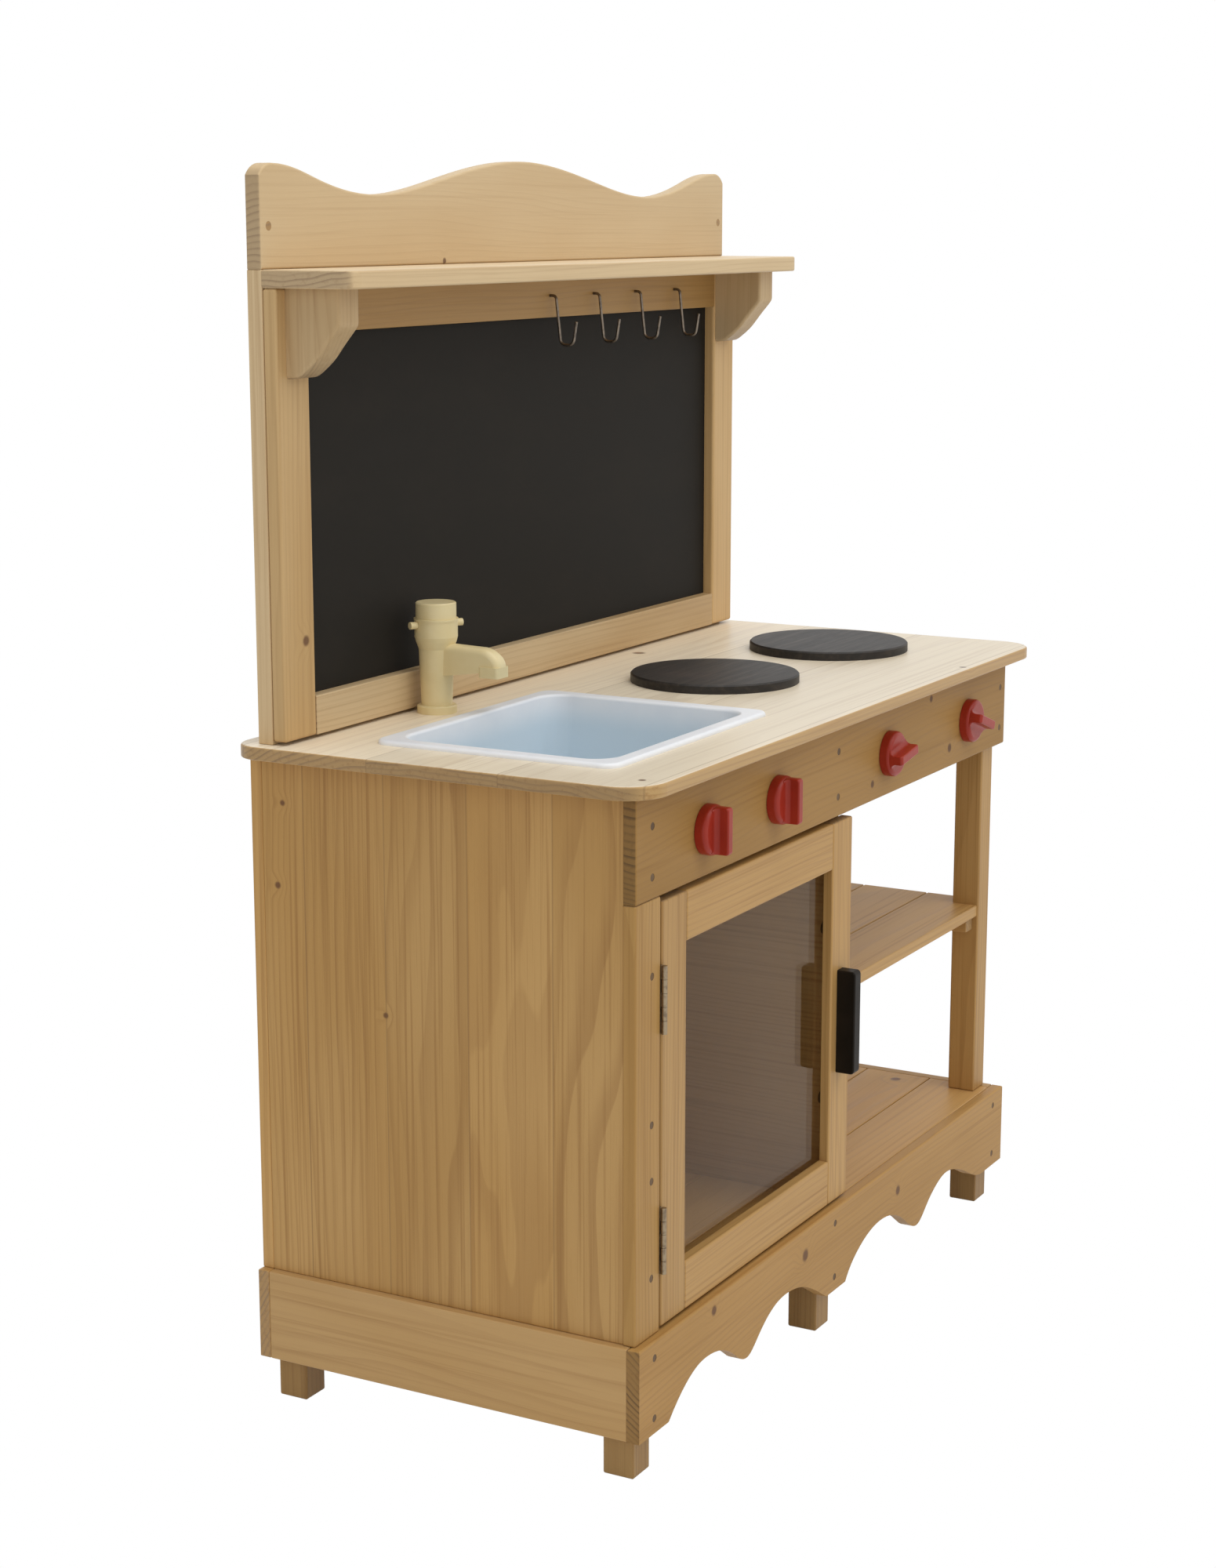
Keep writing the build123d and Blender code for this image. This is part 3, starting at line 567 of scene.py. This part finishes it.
@dataclass(frozen=True)
class Moulded:
    """Injection-moulded plastic with faint flow marks and scuffs."""

    name: str
    colour: Colour
    shade: Colour
    rough: float
    glow: float = 0.0
    sheen: float = 0.5
    low: Colour | None = None
    low_z: float = 0.0
    low_fade: float = 0.03
    cloud_scale: float = 38.0
    scuff_scale: float = 420.0
    fine_scale: float = 2400.0
    clouds: Band = Band(0.35, 0.70, 0.6)
    scuffs: Band = Band(0.60, 0.78, 0.12)
    scuff_rough: float = 0.14
    depth: float = 0.00004
    strength: float = 0.5
    glow_radius: Point = (0.004, 0.004, 0.004)

    def make(self) -> bpy.types.Material:
        """Builds the material.

        Returns:
            The finished material.
        """
        f = Finish(self.name)
        cloud = f.noise(f.place(), self.cloud_scale, 3.0)
        scuff = f.noise(f.place(), self.scuff_scale, 3.0, 0.65)
        fine = f.noise(f.place(), self.fine_scale, 1.0)
        base = f.mix(cloud.within(self.clouds) * self.clouds.share, self.colour, self.shade)
        if self.low:
            depth = f.place().parts()[2].over(self.low_z, self.low_z - self.low_fade)
            base = f.mix(depth, base, self.low)
        base = f.mix(scuff.within(self.scuffs) * self.scuffs.share, base, self.shade)
        return f.surface(Base_Color=base, Roughness=self.rough + (scuff - 0.5) * self.scuff_rough,
                         Normal=f.bump(fine, self.depth, self.strength),
                         Subsurface_Weight=self.glow, Subsurface_Radius=self.glow_radius,
                         Specular_IOR_Level=self.sheen)


@dataclass(frozen=True)
class Stained:
    """Black-stained wood with the grain showing through in the sheen."""

    name: str
    seed: float
    stain: Colour = (0.014, 0.0112, 0.0090)
    grain: Colour = (0.038, 0.028, 0.021)
    thin: Colour = (0.055, 0.036, 0.030)
    streak: Stretch = Stretch(150.0, 5.0, detail=4.0, rough=0.6)
    pore: Stretch = Stretch(900.0, 40.0)
    cloud_scale: float = 14.0
    streaks: Band = Band(0.42, 0.74, 0.8)
    thin_spots: Band = Band(0.52, 0.80, 0.30)
    rough: float = 0.50
    pore_rough: float = 0.16
    streak_rough: float = 0.10
    streak_height: float = 0.6
    pore_height: float = 0.4
    depth: float = 0.00025
    strength: float = 0.7
    sheen: float = 0.34

    def _along_x(self, f: Finish, stretch: Stretch) -> Dye:
        """Draws a noise out along X, where a disc's grain runs.

        Args:
            f: the finish.
            stretch: the noise's scales and detail.

        Returns:
            The noise.
        """
        x, y, z = f.place().parts()
        where = f.vector(x * stretch.along + self.seed, y * stretch.across, z * stretch.across)
        return f.noise(where, 1.0, stretch.detail, stretch.rough)

    def make(self) -> bpy.types.Material:
        """Builds the material.

        Returns:
            The finished material.
        """
        f = Finish(self.name)
        streak = self._along_x(f, self.streak)
        pore = self._along_x(f, self.pore)
        cloud = f.noise(f.place(), self.cloud_scale, 2.0)
        base = f.mix(streak.within(self.streaks) * self.streaks.share, self.stain, self.grain)
        base = f.mix(cloud.within(self.thin_spots) * self.thin_spots.share, base, self.thin)
        rough = self.rough + pore * self.pore_rough - streak * self.streak_rough
        height = streak * self.streak_height + pore * self.pore_height
        return f.surface(Base_Color=base, Roughness=rough, Specular_IOR_Level=self.sheen,
                         Normal=f.bump(height, self.depth, self.strength))


@dataclass(frozen=True)
class Chalkboard:
    """Chalkboard paint, dead flat, with wiped traces too faint to read as marks."""

    name: str
    paint: Colour = (0.0115, 0.0092, 0.0062)
    dust: Colour = (0.0180, 0.0146, 0.0105)
    wipe_sideways: float = 7.0
    wipe_upright: float = 16.0
    traces: Band = Band(0.38, 0.78, 0.75)
    tooth_scale: float = 1500.0
    rough: float = 0.66
    dust_rough: float = 0.10
    depth: float = 0.00006
    strength: float = 0.6
    sheen: float = 0.18

    def make(self) -> bpy.types.Material:
        """Builds the material.

        Returns:
            The finished material.
        """
        f = Finish(self.name)
        x, y, z = f.place().parts()
        wipe = f.noise(f.vector(x * self.wipe_sideways, y, z * self.wipe_upright), 1.0, 4.0, 0.6)
        tooth = f.noise(f.place(), self.tooth_scale, 2.0)
        base = f.mix(wipe.within(self.traces) * self.traces.share, self.paint, self.dust)
        return f.surface(Base_Color=base, Roughness=self.rough + wipe * self.dust_rough,
                         Normal=f.bump(tooth, self.depth, self.strength),
                         Specular_IOR_Level=self.sheen)


@dataclass(frozen=True)
class Metal:
    """Plated or bare metal with fine wear."""

    name: str
    colour: Colour
    worn: Colour
    rough: float
    cloud_scale: float = 260.0
    fine_scale: float = 1800.0
    wear: Band = Band(0.40, 0.72)
    film: Band = Band(0.55, 0.8, 0.25)
    fine_rough: float = 0.16
    depth: float = 0.00003
    strength: float = 0.5

    def make(self) -> bpy.types.Material:
        """Builds the material.

        Returns:
            The finished material.
        """
        f = Finish(self.name)
        cloud = f.noise(f.place(), self.cloud_scale, 3.0)
        fine = f.noise(f.place(), self.fine_scale, 2.0)
        return f.surface(Base_Color=f.mix(cloud.within(self.wear), self.colour, self.worn),
                         Metallic=1.0 - cloud.within(self.film) * self.film.share,
                         Roughness=self.rough + (fine - 0.5) * self.fine_rough,
                         Normal=f.bump(fine, self.depth, self.strength))


@dataclass(frozen=True)
class Acrylic:
    """Clear pane: see-through, with the room's warm reflection and a faint film of wear."""

    name: str
    cast: Colour = (0.19, 0.150, 0.115)
    clear: Colour = (0.97, 0.965, 0.955)
    mirror_rough: float = 0.02
    haze_scale: float = 9.0
    haze_share: float = 0.08
    slant_power: float = 5.0
    slant_share: float = 2.6
    most: float = 0.9

    def make(self) -> bpy.types.Material:
        """Builds the material.

        Returns:
            The finished material.
        """
        f = Finish(self.name)
        haze = f.noise(f.place(), self.haze_scale, 3.0)
        clear = f.node("ShaderNodeBsdfTransparent", {}, {0: self.clear})
        mirror = f.node("ShaderNodeBsdfPrincipled", {}, {
            "Base Color": self.cast, "Roughness": self.mirror_rough, "Metallic": 1.0})
        slant = f.node("ShaderNodeLayerWeight", {}, {"Blend": 0.5}, "Facing")
        share = slant ** self.slant_power * self.slant_share + haze * self.haze_share
        lets_by = f.rays("Is Shadow Ray", "Is Diffuse Ray")
        return f.end(f.blend(share.low(self.most) * (1.0 - lets_by), clear, mirror))


LEFT_RIGHT = Boards(Grain.X, -0.9, 0.9)
DARK_END: Colour = (0.15, 0.088, 0.040)


class Dresser:
    """Puts finishes on the frame's own nodes."""

    def __init__(self, nodes: dict[str, bpy.types.Object]) -> None:
        """Keeps the nodes.

        Args:
            nodes: the frame's objects by name.
        """
        self.nodes = nodes

    def coat(self, look: Look, *names: str) -> None:
        """Gives one finish to several nodes.

        Args:
            look: the finish.
            names: the nodes.
        """
        material = look.make()
        for name in names:
            for slot in self.nodes[name].material_slots:
                slot.material = material
        log.info("%s on %s", look.name, ", ".join(names))


@dataclass
class Base:
    """Skirt, plinths, floor boards and feet."""

    dresser: Dresser
    floor: Boards = Boards(Grain.Y, -0.108, 0.0756)
    feet: Boards = Boards(Grain.X, -0.5, 0.1)
    skirt_knots: tuple[Knot, ...] = (
        Knot((0.132, -0.1895, 0.094), 0.0055),
        Knot((-0.090, -0.1895, 0.099), 0.0065),
        Knot((-0.282, -0.1895, 0.112), 0.005))
    floor_knots: tuple[Knot, ...] = (Knot((0.387, -0.077, 0.124), 0.006),)

    def dress(self) -> None:
        """Gives each board its own pine."""
        coat = self.dresser.coat
        coat(Pine("pine_skirt", Grain.X, 3.0, tone=0.85, warmth=0.7, wander=1.3, contrast=0.7,
                  sheen=0.15, pale=(0.56, 0.32, 0.108), end_grain=DARK_END,
                  knots=self.skirt_knots), "skirt")
        coat(Pine("pine_left_plinth", Grain.Y, 11.0, contrast=0.55, pale=(0.58, 0.365, 0.155)),
             "left_plinth")
        coat(Pine("pine_right_plinth", Grain.Y, 12.0), "right_plinth")
        coat(Pine("pine_back_plinth", Grain.X, 13.0), "back_plinth")
        coat(Pine("pine_floor", Grain.X, 21.0, tone=1.2, contrast=0.6, boards=self.floor,
                  knots=self.floor_knots), "floor_boards")
        coat(Pine("pine_feet", Grain.Z, 31.0, tone=0.68, boards=self.feet), "feet")


@dataclass
class Cupboard:
    """Rail, stile, side panel, posts, divider and back of the closed side."""

    dresser: Dresser
    side: Boards = Boards(Grain.Y, -0.1017, 0.084, 0.0012)
    planks: Boards = Boards(Grain.X, -0.414, 0.086)
    rail_knots: tuple[Knot, ...] = (
        Knot((0.065, -0.182, 0.527), 0.004),
        Knot((0.261, -0.182, 0.530), 0.005),
        Knot((0.209, -0.182, 0.589), 0.004))
    side_knots: tuple[Knot, ...] = (
        Knot((-0.415, 0.172, 0.561), 0.003),
        Knot((-0.415, 0.179, 0.486), 0.0035),
        Knot((-0.415, 0.067, 0.382), 0.003))

    def dress(self) -> None:
        """Gives each board its own pine."""
        coat = self.dresser.coat
        coat(Pine("pine_rail", Grain.X, 41.0, tone=0.77, warmth=0.9, wander=1.5, contrast=0.6,
                  sheen=0.12, pale=(0.56, 0.315, 0.100), end_grain=DARK_END,
                  knots=self.rail_knots), "front_rail")
        coat(Pine("pine_stile", Grain.Z, 42.0, tone=0.88, warmth=0.7, sheen=0.15), "front_stile")
        coat(Pine("pine_side", Grain.Z, 45.0, warmth=0.7, wander=0.9, contrast=1.12,
                  boards=self.side, knots=self.side_knots), "side_panel")
        coat(Pine("pine_left_posts", Grain.Z, 46.0), "left_posts", "rail_block")
        coat(Pine("pine_divider", Grain.Y, 47.0), "divider")
        coat(Pine("pine_planks", Grain.Z, 48.0, tone=1.1, boards=self.planks), "back_planks")


@dataclass
class OpenBay:
    """Posts, shelf and top rails of the open side."""

    dresser: Dresser
    shelf: Boards = Boards(Grain.Y, -0.0972, 0.0756)

    def dress(self) -> None:
        """Gives each board its own pine."""
        coat = self.dresser.coat
        coat(Pine("pine_right_posts", Grain.Z, 51.0, tone=0.98), "right_posts")
        coat(Pine("pine_side_rail", Grain.Y, 52.0), "right_side_rail")
        coat(Pine("pine_back_rail", Grain.X, 53.0), "back_rail")
        coat(Pine("pine_bay_shelf", Grain.X, 54.0, boards=self.shelf), "shelf_boards")
        coat(Pine("pine_cleats", Grain.Y, 55.0, tone=0.95), "shelf_cleats")


@dataclass
class Top:
    """Worktop, hob discs, basin and tap."""

    dresser: Dresser
    worktop: Boards = Boards(Grain.Y, -0.0675, 0.13, 0.0011)
    worktop_knots: tuple[Knot, ...] = (
        Knot((-0.409, -0.184, 0.6155), 0.0035),
        Knot((0.180, 0.137, 0.6155), 0.007),
        Knot((0.257, -0.196, 0.6155), 0.004))
    basin_rim: float = 0.618

    def dress(self) -> None:
        """Gives worktop, discs, basin and tap their finishes."""
        coat = self.dresser.coat
        # the worktop's upward faces carry strong painted top light and glare
        coat(Pine("pine_worktop", Grain.X, 61.0, tone=1.04, warmth=0.30, wander=0.9, gloss=0.36,
                  sheen=0.36, painted_top_light=0.88, pale=(0.53, 0.335, 0.135),
                  end_grain=(0.21, 0.135, 0.07), boards=self.worktop,
                  knots=self.worktop_knots), "worktop")
        coat(Stained("stained_hob_left", 1.0), "hob_disc_left")
        coat(Stained("stained_hob_right", 7.0), "hob_disc_right")
        coat(Moulded("plastic_basin", (0.86, 0.87, 0.89), (0.80, 0.82, 0.86), 0.42, glow=0.15,
                     sheen=0.4, low=(0.62, 0.72, 0.79), low_z=self.basin_rim), "sink_basin")
        coat(Moulded("plastic_cream", (0.80, 0.67, 0.38), (0.74, 0.60, 0.31), 0.36, glow=0.10,
                     sheen=0.4), "tap_body", "tap_button", "tap_pins", "tap_nut")
        coat(Metal("spring_steel", (0.45, 0.44, 0.42), (0.30, 0.29, 0.28), 0.34), "tap_spring")


@dataclass
class Controls:
    """The four knobs and their washers."""

    dresser: Dresser

    def dress(self) -> None:
        """Gives the knobs red plastic and the washers black."""
        coat = self.dresser.coat
        coat(Moulded("plastic_red", (0.35, 0.026, 0.011), (0.27, 0.018, 0.008), 0.38, glow=0.05,
                     sheen=0.3),
             "knob_sink_left", "knob_sink_right", "knob_hob_left", "knob_hob_right")
        coat(Moulded("plastic_washer", (0.02, 0.018, 0.017), (0.03, 0.028, 0.026), 0.5),
             "washer_sink_left", "washer_sink_right", "washer_hob_left", "washer_hob_right")


@dataclass
class Door:
    """Glazed door with its handle, hinges and catch."""

    dresser: Dresser
    stiles: Boards = Boards(Grain.X, -0.9, 0.7)
    rails: Boards = Boards(Grain.Z, -0.29, 0.6)

    def dress(self) -> None:
        """Gives frame, pane, handle and metalwork their finishes."""
        coat = self.dresser.coat
        coat(Pine("pine_door_stiles", Grain.Z, 71.0, tone=0.96, boards=self.stiles),
             "door_stiles")
        coat(Pine("pine_door_rails", Grain.X, 72.0, tone=0.96, boards=self.rails), "door_rails")
        coat(Acrylic("acrylic_pane"), "window_pane")
        coat(Moulded("plastic_black", (0.011, 0.008, 0.005), (0.020, 0.014, 0.009), 0.44,
                     sheen=0.1), "door_handle", "pane_clips", "door_catch")
        coat(Metal("hinge_plate", (0.33, 0.26, 0.17), (0.20, 0.15, 0.10), 0.42),
             "hinge_leaves_frame", "hinge_leaves_door", "hinge_pins", "catch_strike")
        coat(Moulded("screw_paint", (0.15, 0.085, 0.036), (0.08, 0.045, 0.020), 0.55, sheen=0.3),
             "carcass_screws", "door_screws")


@dataclass
class Back:
    """Chalkboard, its frame, the crested board, shelf, brackets and hooks."""

    dresser: Dresser
    light: Colour = (0.70, 0.525, 0.305)
    rails: Boards = Boards(Grain.Z, 0.2, 0.6)
    crest_knots: tuple[Knot, ...] = (Knot((-0.143, 0.1684, 1.025), 0.003),)
    stile_knots: tuple[Knot, ...] = (Knot((-0.398, 0.1541, 0.704), 0.005),)

    def dress(self) -> None:
        """Gives each board its own pine, the panel chalk paint and the hooks bronze."""
        coat = self.dresser.coat
        coat(Pine("pine_uprights", Grain.Z, 81.0, warmth=0.4, contrast=0.6, pale=self.light,
                  boards=LEFT_RIGHT), "back_uprights")
        coat(Pine("pine_cross_rails", Grain.X, 82.0, tone=0.9, contrast=0.6, pale=self.light,
                  boards=self.rails), "back_cross_rails")
        coat(Pine("pine_crest", Grain.X, 83.0, warmth=0.25, wander=1.6, contrast=0.22,
                  pale=self.light, knots=self.crest_knots), "crest_board")
        coat(Pine("pine_plugs", Grain.Y, 84.0, tone=0.92), "crest_plugs")
        coat(Chalkboard("chalkboard_paint"), "chalkboard")
        coat(Pine("pine_frame_stiles", Grain.Z, 285.0, tone=1.06, contrast=0.6,
                  pale=(0.62, 0.42, 0.20), boards=LEFT_RIGHT, knots=self.stile_knots),
             "frame_stiles")
        coat(Pine("pine_frame_bottom", Grain.X, 86.0, tone=0.88, contrast=0.5, pale=self.light),
             "frame_bottom_rail")
        coat(Pine("pine_hook_rail", Grain.X, 87.0, tone=0.80, contrast=0.5), "hook_rail")
        # the shelf's upward faces carry a weaker painted top light
        coat(Pine("pine_upper_shelf", Grain.X, 88.0, warmth=0.2, painted_top_light=0.35, contrast=0.5,
                  pale=self.light), "upper_shelf")
        coat(Pine("pine_brackets", Grain.Z, 89.0, tone=0.90, warmth=0.4, contrast=0.5,
                  pale=self.light, boards=LEFT_RIGHT), "shelf_brackets")
        coat(Metal("bronze_wire", (0.22, 0.18, 0.14), (0.12, 0.10, 0.08), 0.38), "hooks")


@dataclass(frozen=True)
class Lamp:
    """A soft box: its place and aim, its side in metres, its power in watts and its light."""

    name: str
    place: Point
    aim: Point
    size: float
    power: float
    light: Colour = WHITE

    def hang(self) -> None:
        """Adds the lamp to the scene."""
        data = bpy.data.lights.new(self.name, "AREA")
        data.size, data.energy, data.color = self.size, self.power, self.light
        lamp = bpy.data.objects.new(self.name, data)
        lamp.location = self.place
        way = Vector(self.aim) - Vector(self.place)
        lamp.rotation_euler = way.to_track_quat("-Z", "Y").to_euler()
        bpy.context.scene.collection.objects.link(lamp)


@dataclass
class Studio:
    """Pale floor, soft light and the camera."""

    floor_size: float = 14.0
    floor_grey: Colour = (0.86, 0.86, 0.86)
    sky: Colour = (0.97, 0.985, 1.0)
    sky_strength: float = 0.52
    lamps: tuple[Lamp, ...] = (
        Lamp("key", (0.6, -3.2, 3.4), (0.0, 0.0, 0.6), 2.6, 32.0, (1.0, 0.985, 0.96)),
        Lamp("front", (-0.9, -3.2, 0.9), (-0.1, 0.0, 0.4), 1.8, 5.0, (1.0, 0.98, 0.95)),
        Lamp("top", (-0.4, -0.6, 4.2), (0.0, 0.0, 0.6), 3.0, 58.0),
        Lamp("side", (-4.0, -0.4, 2.2), (0.0, 0.0, 0.5), 2.4, 14.0, (1.0, 0.97, 0.93)))
    focal: float = 3564.94
    frame_height: float = 2000.0
    sensor: float = 36.0
    sight: float = 60.0
    place: Point = (-2.3761, -1.2417, 1.0691)
    forward: Point = (0.857, 0.4747, -0.2004)
    right: Point = (0.4845, -0.8748, -0.0003)

    def floor(self) -> None:
        """Lays a pale floor that the camera sees as white, with the object's soft shadow."""
        bpy.ops.object.select_all(action="DESELECT")
        bpy.ops.mesh.primitive_plane_add(size=self.floor_size, location=(0.0, 0.0, 0.0))
        ground = bpy.context.object
        ground.name = "studio_floor"
        f = Finish("studio_floor")
        shade = f.node("ShaderNodeBsdfDiffuse", {}, {0: self.floor_grey})
        white = f.node("ShaderNodeEmission", {}, {0: WHITE, 1: 1.0})
        seen = f.rays("Is Camera Ray", "Is Glossy Ray", "Is Transmission Ray")
        material = f.end(f.blend(seen, shade, white))
        material.cycles.emission_sampling = "NONE"
        ground.data.materials.append(material)

    def world(self) -> None:
        """Even pale surroundings, white where the camera sees them."""
        world = bpy.data.worlds.new("studio_world")
        world.use_nodes = True
        nodes = Nodes(world.node_tree)
        soft = nodes.node("ShaderNodeBackground", {}, {0: self.sky, 1: self.sky_strength})
        white = nodes.node("ShaderNodeBackground", {}, {0: WHITE, 1: 1.0})
        seen = nodes.rays("Is Camera Ray", "Is Glossy Ray", "Is Transmission Ray")
        nodes.raw("ShaderNodeOutputWorld", {}, {0: nodes.blend(seen, soft, white)})
        bpy.context.scene.world = world

    def camera(self) -> None:
        """Puts the camera where the photograph was taken."""
        data = bpy.data.cameras.new("camera")
        data.sensor_width = self.sensor
        data.lens = self.focal / self.frame_height * self.sensor
        data.clip_end = self.sight
        camera = bpy.data.objects.new("camera", data)
        forward = Vector(self.forward).normalized()
        right = Vector(self.right)
        right = (right - forward * right.dot(forward)).normalized()
        up = right.cross(forward)
        turn = Matrix((right, up, -forward)).transposed().to_4x4()
        camera.matrix_world = Matrix.Translation(Vector(self.place)) @ turn
        bpy.context.scene.collection.objects.link(camera)
        bpy.context.scene.camera = camera

    def build(self) -> None:
        """Sets floor, world, lamps and camera."""
        self.floor()
        self.world()
        for lamp in self.lamps:
            lamp.hang()
        self.camera()
        bpy.context.scene.view_settings.view_transform = "Standard"


def main() -> None:
    """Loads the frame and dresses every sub-assembly."""
    logging.basicConfig(level=logging.INFO)
    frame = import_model()
    dresser = Dresser(frame["nodes"])
    for group in (Base, Cupboard, OpenBay, Top, Controls, Door, Back):
        group(dresser).dress()
        log.info("%s dressed", group.__name__)
    Studio().build()


if __name__ == "__main__":
    main()
